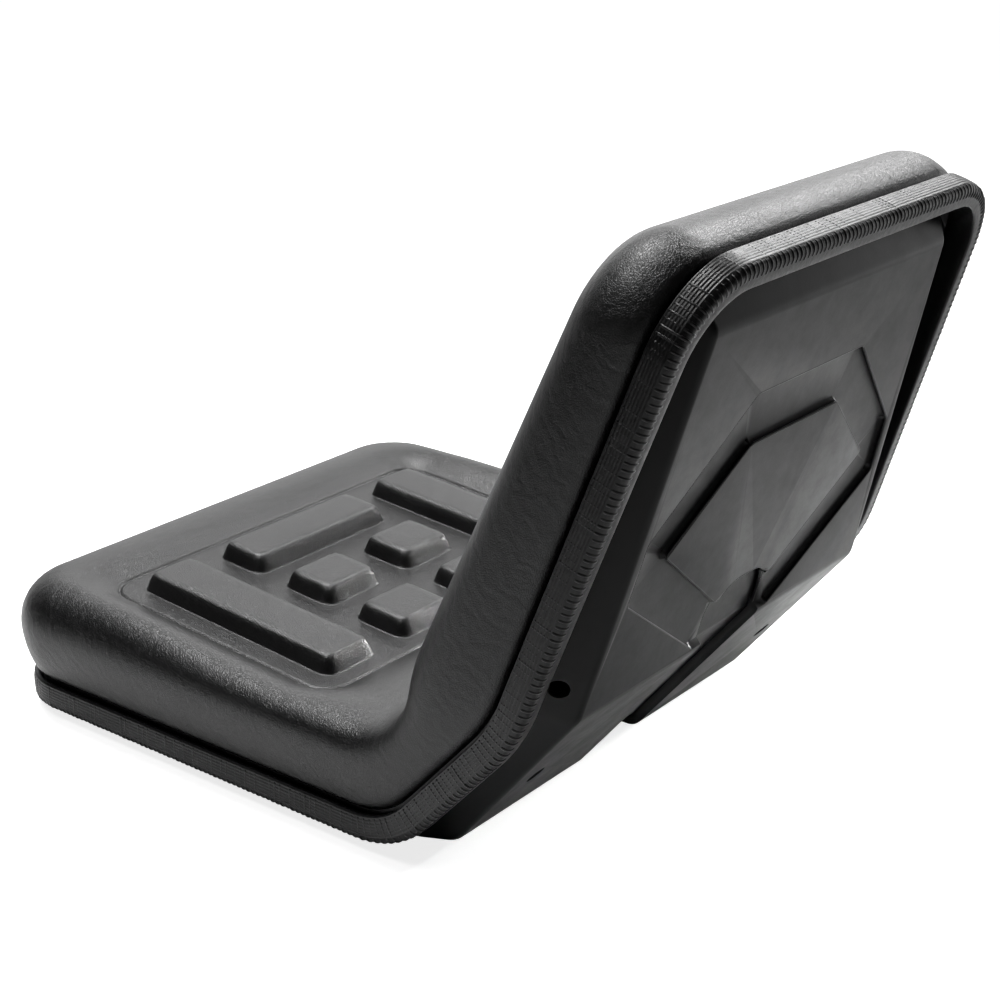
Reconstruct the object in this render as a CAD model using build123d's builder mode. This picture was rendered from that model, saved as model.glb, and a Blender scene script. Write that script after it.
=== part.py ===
# Tractor seat: pressed steel pan, one-piece moulded cushion, push-on rim edging, weld nuts.
# Millimetres, +Z up, front of the seat toward -Y, sitter's left toward +X.
# The origin is the centre of the mounting bolt pattern on the underside of the pan.
import os
from math import atan2, cos, radians, sin, tan
from build123d import *

os.makedirs("parts", exist_ok=True)

# Rim, seen from the side: the surface where the cushion sits on the pan, from the front edge to the top
front_y = -223.0
rim_height = 28.4
seat_run = 373.7
bend_run = 129.0
bend_angle = radians(47.9)
back_run = 305.0
back_angle = radians(70.9)
bend_low_r = 58.0
bend_high_r = 110.0

# Rim, seen from the front: parallel sides at the seat, tapered sides up the back
half_width = 217.0
top_half = 182.3
taper_start = 136.2
taper_r = 260.0
front_corner_r = 52.0
top_corner_r = 60.0

# Edging: U section, depths measured from the cushion side of the rim
trim_near = 2.0
trim_far = 22.0
trim_width = 15.0
trim_leg = 3.6
trim_floor = 5.0

# Pan sheet, and the rim flange whose lip stands inside the edging
sheet = 2.0
lip_inset = 6.5

# Pan form: how far its edges stand in from the rim, then its draft angles and radii
front_inset = 33.0
front_slope = 14.0
side_inset = 33.0
rear_outset = 24.0
ridge_rise = 5.5
ridge_depth = 34.4
ridge_inset = 46.0
shoulder_drop = 43.0
shoulder_depth = 17.4
shoulder_inset = 48.0
top_inset = 23.0
seat_draft = radians(20.0)
flank_draft = radians(32.0)
front_low_r = 12.0
rear_low_r = 14.0
bend_r = 14.0
shoulder_r = 12.0
flank_r = 40.0
ridge_r = 6.0
least_r = 2.0
rim_bite = 1.0

# Pressings on the back of the pan, as (across, up the back face from the bend)
recess_depth = 4.5
recess_outline = [(65, 199), (148, 121), (152, 77), (48, 3)]
island_outline = [(53, 159), (120, 102), (34, 36)]
press_angle = 35.0
press_r = 5.0
channel_half = 36.0
channel_top = 46.0
channel_depth = 8.0
channel_low = 158.0
channel_r = 28.0

# Holes in the pan
rear_hole_x = 140.0
rear_hole_up = 66.0
rear_hole_r = 7.5
flank_hole_inset = 38.0
flank_hole_up = 24.0
flank_hole_depth = 18.0
flank_hole_r = 6.0
bolt_x = 216.0
bolt_y = 254.0
bolt_r = 4.5
hole_cut = 15.0

# Weld nuts, seated on the inner face of the pan
nut_flat = 14.0
nut_height = 6.5
nut_thread_r = 4.0

# Cushion body
overhang = 6.0
cushion_depth = 72.0
back_top_depth = 55.0
seat_back_r = 42.0
roll_r = 34.0
skirt_bevel = 9.0
foam_clear = 1.0
nut_clear = 3.0

# Seat panel, sunk in the cushion and tilted down toward the rear, and its raised blocks
panel_start = 65.0
panel_sink = 9.2
panel_tilt = radians(5.2)
panel_length = 221.0
panel_margin = 47.0
panel_r = 22.0
panel_wall = 38.0
block_height = 12.5
block_bevel = 5.0
bar_x = 125.0
bar_width = 44.0
bar_start = 21.0
bar_length = 181.0
front_bar_half = 70.0
front_bar_depth = 39.0
square_x = 43.0
square_width = 52.0
square_depth = 42.0
square_rows = (110.0, 181.0)

# Back panel: the same pattern, shorter, with the cross bar at the top
back_panel_start = 56.0
back_panel_sink = 14.0
back_panel_length = 194.0
back_panel_half = 146.0
back_bar_x = 112.0
back_bar_width = 40.0
back_bar_length = 158.0
back_cross_half = 62.0
back_cross_depth = 34.0
back_cross_up = 159.0
back_square_x = 39.0
back_square_width = 47.0
back_square_depth = 38.0
back_square_rows = (37.0, 97.0)


# A point of the side view moved along a run of the given angle and outward from it
def shift(point, angle, along, depth):
    y = point[0] + along * cos(angle) + depth * sin(angle)
    z = point[1] + along * sin(angle) - depth * cos(angle)
    return (y, z)


# One corner of a side outline moved outward by depth, at the turn between two straight runs
def turn(point, angle_in, angle_out, depth):
    scale = depth / (1 + cos(angle_out - angle_in))
    y = point[0] + scale * (sin(angle_in) + sin(angle_out))
    z = point[1] - scale * (cos(angle_in) + cos(angle_out))
    return (y, z)


# Direction of the straight line between two points of the side view
def slope(start, end):
    return atan2(end[1] - start[1], end[0] - start[0])


# A plane across the seat on a run of the side view, looking outward
def outer_plane(point, angle):
    return Plane(origin=(0, *point), x_dir=(-1, 0, 0), z_dir=(0, sin(angle), -cos(angle)))


# Corners of the rim, then of the pan's outer face, as (y, z) in the side view
rim_low = (front_y + seat_run, rim_height)
rim_high = shift(rim_low, bend_angle, bend_run, 0)
rim_top = shift(rim_high, back_angle, back_run, 0)
pan_front_top = (front_y + front_inset, rim_height)
pan_front_low = (pan_front_top[0] + front_slope, 0)
pan_rear_low = (rim_low[0] + rear_outset, 0)
pan_ridge = shift(rim_high, back_angle, ridge_rise, ridge_depth)
pan_shoulder = shift(rim_top, back_angle, -shoulder_drop, shoulder_depth)
pan_top = shift(rim_top, back_angle, -top_inset, 0)
rear_angle = slope(pan_rear_low, pan_ridge)
plateau_angle = slope(pan_ridge, pan_shoulder)
rear_face = outer_plane(pan_rear_low, rear_angle)
plateau_face = outer_plane(pan_ridge, plateau_angle)
taper = atan2(half_width - top_half, rim_top[1] - taper_start)
shoulder_x = top_half + (rim_top[1] - pan_shoulder[1]) * tan(taper) - shoulder_inset
lip_depth = trim_far - trim_floor
up_back = Axis((0, 0, 0), (0, cos(back_angle), sin(back_angle)))
reach = 1.5 * half_width


# Side view of the rim surface at a depth: front end, two bends, top end
def rim_side(depth, inset):
    front = (front_y + inset, rim_height - depth)
    low = turn(rim_low, 0, bend_angle, depth)
    high = turn(rim_high, bend_angle, back_angle, depth)
    top = shift(rim_top, back_angle, -inset, depth)
    return [front, low, high, top]


# Outline points on one side of the middle, closed over the other side
def both_sides(points):
    return points + [(-x, y) for x, y in reversed(points)]


# Front view of the seat inside the rim outline moved inward by inset, as a prism
def side_walls(inset):
    kink_x = half_width - inset
    kink_z = rim_top[1] - (kink_x - top_half + inset / cos(taper)) / tan(taper)
    high_z = rim_top[1] + cushion_depth
    high_x = kink_x - (high_z - kink_z) * tan(taper)
    outline = [(kink_x, -reach), (kink_x, kink_z), (high_x, high_z)]
    with BuildPart() as walls:
        with BuildSketch(Plane.XZ) as front_view:
            with BuildLine():
                Polyline(*both_sides(outline), close=True)
            make_face()
            for side in (1, -1):
                kink = front_view.vertices().sort_by_distance((side * kink_x, kink_z))[0]
                fillet(kink, radius=taper_r - inset)
        extrude(amount=2 * reach, both=True)
    return walls.part


# A layer that follows the rim between two depths, its outline moved inward by inset
def rim_layer(near, far, inset):
    near_side = rim_side(near, inset)
    far_side = rim_side(far, inset)
    with BuildPart() as layer:
        with BuildSketch(Plane.YZ) as side:
            with BuildLine():
                Polyline(*near_side, *reversed(far_side), close=True)
            make_face()
            for points, depth in ((near_side, near), (far_side, far)):
                fillet(side.vertices().sort_by_distance(points[1])[0], radius=bend_low_r + depth)
                fillet(side.vertices().sort_by_distance(points[2])[0], radius=bend_high_r + depth)
        extrude(amount=reach, both=True)
        add(side_walls(inset), mode=Mode.INTERSECT)
        front = layer.faces().sort_by(Axis.Y)[0]
        fillet(front.edges().filter_by(Axis.X, reverse=True), radius=front_corner_r - inset)
        top = layer.faces().sort_by(up_back)[-1]
        fillet(top.edges().filter_by(Axis.X, reverse=True), radius=top_corner_r - inset)
    return layer.part


# A ring that follows the rim between two depths and two insets
def rim_ring(near, far, outer, inner):
    return rim_layer(near, far, outer) - rim_layer(near - sheet, far + sheet, inner)


# Whether a face of the pan form looks away from the cushion
def is_outer(face):
    normal = face.normal_at()
    return normal.Z < 0.01 or normal.Y > 0.3 or normal.Y < -0.99


# Smooth form of the pan, its outer face moved inward by inset; the rim side lies at rim_depth,
# overrun lengthens the front and top walls past the rim, and edge_r rounds the edges of its flanks
def pan_block(inset, rim_depth, overrun, edge_r):
    corners = [pan_front_top, pan_front_low, pan_rear_low, pan_ridge, pan_shoulder, pan_top]
    angles = [slope(a, b) for a, b in zip(corners, corners[1:])]
    outline = [shift(corners[0], angles[0], -overrun, -inset)]
    for i in range(1, 5):
        outline.append(turn(corners[i], angles[i - 1], angles[i], -inset))
    outline.append(shift(corners[5], angles[4], overrun, -inset))
    rim = rim_side(rim_depth, 0)
    with BuildPart() as block:
        with BuildSketch(Plane.YZ) as side:
            with BuildLine():
                Polyline(*outline, rim[2], rim[1], close=True)
            make_face()
            radii = (front_low_r, rear_low_r, bend_r, shoulder_r)
            for point, radius in zip(outline[1:5], radii):
                fillet(side.vertices().sort_by_distance(point)[0], radius=max(radius - inset, least_r))
            fillet(side.vertices().sort_by_distance(rim[1])[0], radius=bend_low_r + rim_depth)
            fillet(side.vertices().sort_by_distance(rim[2])[0], radius=bend_high_r + rim_depth)
        extrude(amount=reach, both=True)
        seat_edge = Vector(half_width - side_inset, *pan_rear_low)
        low = Vector(half_width - ridge_inset, *pan_rear_low)
        ridge = Vector(half_width - ridge_inset, *pan_ridge)
        shoulder = Vector(shoulder_x, *pan_shoulder)
        walls = [(seat_edge, Vector(0, 1, 0), 0, seat_draft)]
        walls.append((ridge, ridge - low, rear_angle, flank_draft))
        walls.append((ridge, shoulder - ridge, plateau_angle, flank_draft))
        for start, along, angle, draft in walls:
            lean = Vector(sin(draft), -sin(angle) * cos(draft), cos(angle) * cos(draft))
            normal = along.cross(lean).normalized()
            origin = start - normal * inset
            split(bisect_by=Plane(origin=tuple(origin), z_dir=tuple(normal)), keep=Keep.BOTTOM)
            mirrored = Plane(origin=(-origin.X, origin.Y, origin.Z), z_dir=(-normal.X, normal.Y, normal.Z))
            split(bisect_by=mirrored, keep=Keep.BOTTOM)
        for side in (1, -1):
            flanks = block.faces().filter_by(lambda f: f.normal_at().X * side > 0.3).sort_by(Axis.Z)
            seat, rear, back = flanks
            fillet((seat.edges() & rear.edges()) + (rear.edges() & back.edges()), radius=flank_r)
        flanks = block.faces().filter_by(lambda f: abs(f.normal_at().X) > 0.3)
        body = block.faces().filter_by(lambda f: abs(f.normal_at().X) < 0.3 and is_outer(f))
        if edge_r:
            fillet(flanks.edges() & body.edges(), radius=edge_r)
    return block.part


# The prism that bounds the channel pressed through the bend of the pan, its walls moved outward by inset
def channel_arch(inset):
    with BuildPart() as arch:
        with BuildSketch(plateau_face.offset(reach / 2)) as outline:
            with Locations((0, channel_top + inset)):
                width = 2 * (channel_half + inset)
                Rectangle(width, channel_top + channel_low + 2 * inset, align=(Align.CENTER, Align.MAX))
            fillet(outline.vertices().group_by(Axis.Y)[-1], radius=channel_r)
        extrude(amount=-reach)
    return arch.part


# The pan form with its back pressings, moved inward by inset
def pan_form(inset, rim_depth, overrun):
    face = plateau_face.offset(-inset)
    lean = tan(radians(press_angle))
    wall = inset * (1 / cos(radians(press_angle)) - lean)
    edge_r = max(ridge_r - inset, least_r)
    smooth = pan_block(inset, rim_depth, overrun, edge_r)
    arch = channel_arch(inset)
    floor = pan_block(inset + channel_depth, rim_depth, overrun, 0) & arch
    with BuildPart() as form:
        add(smooth)
        with BuildSketch(face.offset(-recess_depth)) as recess:
            Polygon(*both_sides(recess_outline), align=None)
            offset(amount=wall - recess_depth * lean, kind=Kind.INTERSECTION)
            fillet(recess.vertices(), radius=press_r)
        extrude(amount=recess_depth + sheet, taper=-press_angle, mode=Mode.SUBTRACT)
        with BuildSketch(face.offset(-recess_depth)) as island:
            Polygon(*both_sides(island_outline), align=None)
            offset(amount=recess_depth * lean - wall, kind=Kind.INTERSECTION)
            fillet(island.vertices(), radius=press_r)
        extrude(amount=recess_depth, taper=press_angle)
        add(arch, mode=Mode.SUBTRACT)
        add(floor)
    return form.part


# Outer edges of a strip of faces that climbs the seat, without the edges that the faces share
def strip_outline(faces):
    ordered = faces.sort_by(Axis.Z)
    shared = ShapeList()
    for low, high in zip(ordered, ordered[1:]):
        shared += low.edges() & high.edges()
    return faces.edges() - shared


# Steel pan: pressed form with its rim flange and lip, one sheet thick
outer_form = pan_form(0, rim_bite, 0)
inner_form = pan_form(sheet, -3 * sheet, 4.5 * sheet)
flange = rim_layer(0, lip_depth, lip_inset) - rim_layer(sheet, lip_depth + sheet, lip_inset + sheet)
flank_hole = shift(rim_high, back_angle, flank_hole_up, flank_hole_depth)
with BuildPart() as steel_pan:
    add(outer_form)
    add(flange)
    add(inner_form, mode=Mode.SUBTRACT)
    with BuildSketch(rear_face):
        with Locations((rear_hole_x, rear_hole_up), (-rear_hole_x, rear_hole_up)):
            Circle(rear_hole_r)
    extrude(amount=hole_cut, both=True, mode=Mode.SUBTRACT)
    for side in (1, -1):
        hole_x = side * (half_width - flank_hole_inset)
        with BuildSketch(Plane(origin=(hole_x, *flank_hole), z_dir=(side, 0, 0))):
            Circle(flank_hole_r)
        extrude(amount=hole_cut, both=True, mode=Mode.SUBTRACT)
    with BuildSketch(Plane.XY):
        with GridLocations(bolt_x, bolt_y, 2, 2):
            Circle(bolt_r)
    extrude(amount=hole_cut, both=True, mode=Mode.SUBTRACT)
steel_pan.part.label = "steel_pan"
export_step(steel_pan.part, "parts/steel_pan.step")

# Edging: a U that takes the lip, its inner leg against the flange
groove = rim_ring(trim_near - sheet, lip_depth, trim_leg, trim_width - trim_leg)
with BuildPart() as edge_trim:
    add(rim_ring(trim_near, trim_far, 0, trim_width))
    add(groove, mode=Mode.SUBTRACT)
edge_trim.part.label = "edge_trim"
export_step(edge_trim.part, "parts/edge_trim.step")

# Weld nuts over the bolt holes
with BuildPart() as weld_nuts:
    with BuildSketch(Plane.XY.offset(sheet)):
        with GridLocations(bolt_x, bolt_y, 2, 2):
            RegularPolygon(nut_flat / 2, 6, major_radius=False)
            Circle(nut_thread_r, mode=Mode.SUBTRACT)
    extrude(amount=nut_height)
weld_nuts.part.label = "weld_nuts"
export_step(weld_nuts.part, "parts/weld_nuts.step")

# Foam inside the pan: held off its sheet, over its channel and cut back clear of its recess
foam_inset = sheet + foam_clear
foam_sizes = (-5 * sheet, 7 * sheet, 0)
foam_arch = channel_arch(foam_inset)
foam_channel = pan_block(foam_inset + channel_depth, *foam_sizes) & foam_arch
with BuildPart() as foam_core:
    add(pan_block(foam_inset, *foam_sizes))
    split(bisect_by=plateau_face.offset(-foam_inset - recess_depth), keep=Keep.BOTTOM)
    add(foam_arch, mode=Mode.SUBTRACT)
    add(foam_channel)
    with BuildSketch(Plane.XY):
        with GridLocations(bolt_x, bolt_y, 2, 2):
            RegularPolygon(nut_flat / 2 + nut_clear, 6, major_radius=False)
    extrude(amount=sheet + nut_height + nut_clear, mode=Mode.SUBTRACT)

# Cushion: side outline, then the two sunk panels and their raised blocks
cushion_top = rim_height + cushion_depth
foam_rim = rim_side(0, -overhang)
foam_rim[3] = rim_top
foam_end = shift(rim_top, back_angle, 0, -back_top_depth)
back_front = shift(rim_high, back_angle, 0, -cushion_depth)
front_angle = slope(back_front, foam_end)
seat_back = shift(back_front, front_angle, (cushion_top - back_front[1]) / sin(front_angle), 0)
foam_start = (front_y - overhang, cushion_top)
seat_panel = Plane(
    origin=(0, front_y + panel_start, cushion_top - panel_sink),
    x_dir=(1, 0, 0),
    z_dir=(0, sin(panel_tilt), cos(panel_tilt)),
)
back_panel = Plane(
    origin=(0, *shift(back_front, front_angle, back_panel_start, back_panel_sink)),
    x_dir=(1, 0, 0),
    z_dir=(0, -sin(front_angle), cos(front_angle)),
)
panel_half = half_width - panel_margin

# Raised blocks as centre across, centre along the panel, width, depth
seat_blocks = [(0, bar_start + front_bar_depth / 2, 2 * front_bar_half, front_bar_depth)]
back_blocks = [(0, back_cross_up, 2 * back_cross_half, back_cross_depth)]
for side in (1, -1):
    seat_blocks.append((side * bar_x, bar_start + bar_length / 2, bar_width, bar_length))
    back_blocks.append((side * back_bar_x, back_panel_length / 2, back_bar_width, back_bar_length))
    for row in square_rows:
        seat_blocks.append((side * square_x, row, square_width, square_depth))
    for row in back_square_rows:
        back_blocks.append((side * back_square_x, row, back_square_width, back_square_depth))

with BuildPart() as cushion:
    with BuildSketch(Plane.YZ) as side_view:
        with BuildLine():
            Polyline(*foam_rim, foam_end, seat_back, foam_start, close=True)
        make_face()
        fillet(side_view.vertices().sort_by_distance(foam_rim[1])[0], radius=bend_low_r)
        fillet(side_view.vertices().sort_by_distance(foam_rim[2])[0], radius=bend_high_r)
        fillet(side_view.vertices().sort_by_distance(seat_back)[0], radius=seat_back_r)
    extrude(amount=reach, both=True)
    add(side_walls(-overhang), mode=Mode.INTERSECT)
    front = cushion.faces().sort_by(Axis.Y)[0]
    fillet(front.edges().filter_by(Axis.X, reverse=True), radius=front_corner_r + overhang)
    top = cushion.faces().sort_by(up_back)[-1]
    fillet(top.edges().filter_by(Axis.X, reverse=True), radius=top_corner_r)
    across = cushion.faces().filter_by(lambda f: abs(f.normal_at().X) < 0.1)
    sitting = across.filter_by(lambda f: f.normal_at().Z > 0.2 and f.normal_at().Y < 0.01)
    fillet(strip_outline(sitting), radius=roll_r)
    across = cushion.faces().filter_by(lambda f: abs(f.normal_at().X) < 0.1)
    under = across.filter_by(lambda f: f.normal_at().Z < -0.1)
    chamfer(strip_outline(under), length=skirt_bevel)
    add(foam_core.part)
    with BuildSketch(seat_panel):
        with Locations((0, panel_length / 2)):
            RectangleRounded(2 * panel_half, panel_length, panel_r)
    extrude(amount=cushion_depth / 2, taper=-panel_wall, mode=Mode.SUBTRACT)
    with BuildSketch(back_panel):
        with Locations((0, back_panel_length / 2)):
            RectangleRounded(2 * back_panel_half, back_panel_length, panel_r)
    extrude(amount=cushion_depth / 2, taper=-panel_wall, mode=Mode.SUBTRACT)
    for plane, blocks in ((seat_panel, seat_blocks), (back_panel, back_blocks)):
        for x, y, width, depth in blocks:
            with BuildSketch(plane) as block:
                with Locations((x, y)):
                    Rectangle(width, depth)
                chamfer(block.vertices(), length=block_bevel)
            extrude(amount=block_height)
cushion.part.label = "cushion"
export_step(cushion.part, "parts/cushion.step")
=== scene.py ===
import math

import bmesh
import bpy
import numpy as np
from mathutils import Matrix, Vector


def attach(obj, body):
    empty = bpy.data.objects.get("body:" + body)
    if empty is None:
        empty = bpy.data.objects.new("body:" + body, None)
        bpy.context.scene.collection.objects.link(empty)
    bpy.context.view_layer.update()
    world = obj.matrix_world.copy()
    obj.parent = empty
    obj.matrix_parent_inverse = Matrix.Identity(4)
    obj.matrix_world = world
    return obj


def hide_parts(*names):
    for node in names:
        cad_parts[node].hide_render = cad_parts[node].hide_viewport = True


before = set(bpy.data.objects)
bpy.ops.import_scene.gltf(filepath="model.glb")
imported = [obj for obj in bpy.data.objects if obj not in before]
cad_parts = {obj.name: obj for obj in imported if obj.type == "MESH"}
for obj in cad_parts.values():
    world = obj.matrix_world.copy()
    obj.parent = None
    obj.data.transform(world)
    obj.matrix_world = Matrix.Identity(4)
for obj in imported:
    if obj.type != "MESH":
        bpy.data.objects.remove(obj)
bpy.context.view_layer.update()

rng = np.random.default_rng(41)

# the rim the whole seat is built round, in metres: front edge, bend, back
rim = dict(frontY=-0.223, height=0.0284, seatRun=0.3737, bendRun=0.129, bendAngle=math.radians(47.9),
           backRun=0.305, backAngle=math.radians(70.9), lowRadius=0.058, highRadius=0.110,
           halfWidth=0.217, topHalf=0.1823, taperStart=0.1362, taperEnd=0.41231, taperBlend=0.003,
           frontCorner=0.052, topCorner=0.060)
taper = math.atan((rim["halfWidth"] - rim["topHalf"]) / (rim["taperEnd"] - rim["taperStart"]))


def smoothMin(a, b, k):
    return np.minimum(a, b) - np.maximum(k - np.abs(a - b), 0) ** 2 / (4 * k)


def smoothMax(a, b, k):
    return -smoothMin(-a, -b, k)


def eased(t):
    return t * t * (3 - 2 * t)


def bell(value, centre, width):
    return np.exp(-((value - centre) / width) ** 2)


def shifted(point, angle, along, depth=0.0):
    return (point[0] + along * math.cos(angle) + depth * math.sin(angle),
            point[1] + along * math.sin(angle) - depth * math.cos(angle))


def roundedPath(corners, radii, step=0.0004):
    points, angles = [np.array(corners[0])], []
    runs = [math.atan2(b[1] - a[1], b[0] - a[0]) for a, b in zip(corners, corners[1:])]
    angles.append(runs[0])
    for here, radius, before, after in zip(corners[1:-1], radii, runs, runs[1:]):
        reach = radius * math.tan((after - before) / 2)
        centre = np.array(shifted(here, before, -reach, -radius))
        for angle in np.linspace(before, after, int(radius * (after - before) / step) + 2):
            points.append(centre + radius * np.array([math.sin(angle), -math.cos(angle)]))
            angles.append(angle)
    points.append(np.array(corners[-1]))
    angles.append(runs[-1])
    points = np.array(points)
    lengths = np.concatenate([[0], np.cumsum(np.linalg.norm(np.diff(points, axis=0), axis=1))])
    return dict(length=lengths, y=points[:, 0], z=points[:, 1], angle=np.array(angles), total=lengths[-1])


def pathAt(path, s):
    inside = np.clip(s, 0, path["total"])
    angle = np.interp(inside, path["length"], path["angle"])
    y = np.interp(inside, path["length"], path["y"]) + (s - inside) * np.cos(angle)
    z = np.interp(inside, path["length"], path["z"]) + (s - inside) * np.sin(angle)
    return y, z, angle


rimFront = (rim["frontY"], rim["height"])
rimLow = shifted(rimFront, 0, rim["seatRun"])
rimHigh = shifted(rimLow, rim["bendAngle"], rim["bendRun"])
rimTop = shifted(rimHigh, rim["backAngle"], rim["backRun"])
rimPath = roundedPath([rimFront, rimLow, rimHigh, rimTop], [rim["lowRadius"], rim["highRadius"]])


def sideAt(z, half, topHalf):
    # half width at a height: upright to the taper, then drawn in toward the top
    lean = topHalf + (rimTop[1] - z) * math.tan(taper)
    return smoothMin(np.full_like(lean, half), lean, rim["taperBlend"])


def newMesh(name, vertices, faces):
    mesh = bpy.data.meshes.new(name)
    mesh.from_pydata([tuple(v) for v in vertices], [], faces)
    mesh.update()
    work = bmesh.new()
    work.from_mesh(mesh)
    bmesh.ops.recalc_face_normals(work, faces=work.faces)
    work.to_mesh(mesh)
    work.free()
    mesh.polygons.foreach_set("use_smooth", [True] * len(mesh.polygons))
    piece = bpy.data.objects.new(name, mesh)
    bpy.context.scene.collection.objects.link(piece)
    return piece


def addColumn(mesh, name, values):
    column = mesh.attributes.new(name, "FLOAT", "POINT")
    column.data.foreach_set("value", np.asarray(values, dtype=np.float32))


# materials: small helpers for node trees
def startMaterial(name, **sockets):
    material = bpy.data.materials.new(name)
    material.use_nodes = True
    nodes, links = material.node_tree.nodes, material.node_tree.links
    shader = nodes["Principled BSDF"]
    for key, value in sockets.items():
        shader.inputs[key].default_value = value
    return material, nodes, links, shader


def addNode(nodes, kind, **settings):
    node = nodes.new(kind)
    for key, value in settings.items():
        if key in node.inputs:
            node.inputs[key].default_value = value
        else:
            setattr(node, key, value)
    return node


def noise(nodes, links, place, scale, detail, roughness=0.5):
    node = addNode(nodes, "ShaderNodeTexNoise", Scale=scale, Detail=detail, Roughness=roughness)
    links.new(place, node.inputs["Vector"])
    return node


def ramp(nodes, links, source, low, high, toLow, toHigh):
    node = addNode(nodes, "ShaderNodeMapRange")
    for index, value in enumerate((low, high, toLow, toHigh), 1):
        node.inputs[index].default_value = value
    links.new(source, node.inputs[0])
    return node.outputs[0]


def mixed(nodes, links, operation, first, second):
    node = addNode(nodes, "ShaderNodeMath", operation=operation)
    for socket, value in zip(node.inputs, (first, second)):
        if isinstance(value, (int, float)):
            socket.default_value = value
        else:
            links.new(value, socket)
    return node.outputs[0]


def bumped(nodes, links, height, strength, distance, below=None):
    node = addNode(nodes, "ShaderNodeBump", Strength=strength, Distance=distance)
    links.new(height, node.inputs["Height"])
    if below is not None:
        links.new(below, node.inputs["Normal"])
    return node.outputs["Normal"]


# grain cells, fine pores, soft swells and folds; each bump is (strength, distance)
vinylLook = dict(colour=(0.0032, 0.0032, 0.0034, 1), specular=0.62, rough=(0.29, 0.36), creviceRough=0.06,
                 warpScale=160.0, warpReach=0.004, grainScale=620.0, grainEdge=0.16, fineScale=2100.0,
                 swellScale=90.0, foldScale=42.0, foldTwist=9.0, foldDetail=1.6, patchScale=14.0,
                 swellBump=(0.12, 0.0012), foldBump=(0.18, 0.0016),
                 grainBump=(0.45, 0.00022), fineBump=(0.25, 0.0001))


def vinylMaterial():
    look = vinylLook
    material, nodes, links, shader = startMaterial("cushion vinyl", **{
        "Base Color": look["colour"], "Specular IOR Level": look["specular"]})
    place = addNode(nodes, "ShaderNodeTexCoord").outputs["Object"]
    warp = noise(nodes, links, place, look["warpScale"], 3.0)
    push = addNode(nodes, "ShaderNodeVectorMath", operation="MULTIPLY_ADD")
    links.new(warp.outputs["Color"], push.inputs[0])
    push.inputs[1].default_value = (look["warpReach"],) * 3
    links.new(place, push.inputs[2])
    cells = addNode(nodes, "ShaderNodeTexVoronoi", feature="DISTANCE_TO_EDGE", Scale=look["grainScale"])
    links.new(push.outputs[0], cells.inputs["Vector"])
    grain = ramp(nodes, links, cells.outputs["Distance"], 0.0, look["grainEdge"], 0.0, 1.0)
    fine = noise(nodes, links, place, look["fineScale"], 2.0)
    swell = noise(nodes, links, push.outputs[0], look["swellScale"], 4.0, 0.6)
    strain = addNode(nodes, "ShaderNodeAttribute", attribute_name="strain")
    creases = addNode(nodes, "ShaderNodeTexWave", wave_type="BANDS", bands_direction="DIAGONAL",
                      Scale=look["foldScale"], Distortion=look["foldTwist"], Detail=3.0)
    creases.inputs["Detail Scale"].default_value = look["foldDetail"]
    links.new(place, creases.inputs["Vector"])
    folds = mixed(nodes, links, "MULTIPLY", creases.outputs["Fac"], strain.outputs["Fac"])
    normal = bumped(nodes, links, swell.outputs["Fac"], *look["swellBump"])
    normal = bumped(nodes, links, folds, *look["foldBump"], normal)
    normal = bumped(nodes, links, grain, *look["grainBump"], normal)
    normal = bumped(nodes, links, fine.outputs["Fac"], *look["fineBump"], normal)
    links.new(normal, shader.inputs["Normal"])
    patch = noise(nodes, links, place, look["patchScale"], 5.0, 0.65)
    rough = ramp(nodes, links, patch.outputs["Fac"], 0.3, 0.7, *look["rough"])
    crevice = ramp(nodes, links, grain, 0, 1, look["creviceRough"], 0.0)
    links.new(mixed(nodes, links, "ADD", rough, crevice), shader.inputs["Roughness"])
    return material


trimLook = dict(colour=(0.0045, 0.0045, 0.0047, 1), specular=0.5, rough=(0.28, 0.42), fineScale=1300.0,
                broadScale=240.0, broadBump=(0.4, 0.0006), fineBump=(0.35, 0.00016))


def trimMaterial():
    look = trimLook
    material, nodes, links, shader = startMaterial("edging vinyl", **{
        "Base Color": look["colour"], "Specular IOR Level": look["specular"]})
    place = addNode(nodes, "ShaderNodeTexCoord").outputs["Object"]
    fine = noise(nodes, links, place, look["fineScale"], 3.0, 0.6)
    broad = noise(nodes, links, place, look["broadScale"], 3.0)
    normal = bumped(nodes, links, broad.outputs["Fac"], *look["broadBump"])
    normal = bumped(nodes, links, fine.outputs["Fac"], *look["fineBump"], normal)
    links.new(normal, shader.inputs["Normal"])
    links.new(ramp(nodes, links, broad.outputs["Fac"], 0.3, 0.7, *look["rough"]), shader.inputs["Roughness"])
    return material


panLook = dict(colour=(0.0034, 0.0034, 0.0036, 1), specular=0.25, rough=(0.3, 0.42), dustScale=60.0,
               peelScale=520.0, waveScale=26.0, waveBump=(0.12, 0.0012), peelBump=(0.12, 0.00022))


def paintMaterial():
    look = panLook
    material, nodes, links, shader = startMaterial("pan paint", **{
        "Base Color": look["colour"], "Specular IOR Level": look["specular"]})
    place = addNode(nodes, "ShaderNodeTexCoord").outputs["Object"]
    peel = noise(nodes, links, place, look["peelScale"], 2.0)
    wave = noise(nodes, links, place, look["waveScale"], 2.0)
    normal = bumped(nodes, links, wave.outputs["Fac"], *look["waveBump"])
    normal = bumped(nodes, links, peel.outputs["Fac"], *look["peelBump"], normal)
    links.new(normal, shader.inputs["Normal"])
    dust = noise(nodes, links, place, look["dustScale"], 6.0, 0.7)
    links.new(ramp(nodes, links, dust.outputs["Fac"], 0.3, 0.75, *look["rough"]), shader.inputs["Roughness"])
    return material


nutLook = dict(colour=(0.55, 0.53, 0.47, 1), rough=(0.28, 0.46), flakeScale=900.0, flakeBump=(0.2, 0.0001))


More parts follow.
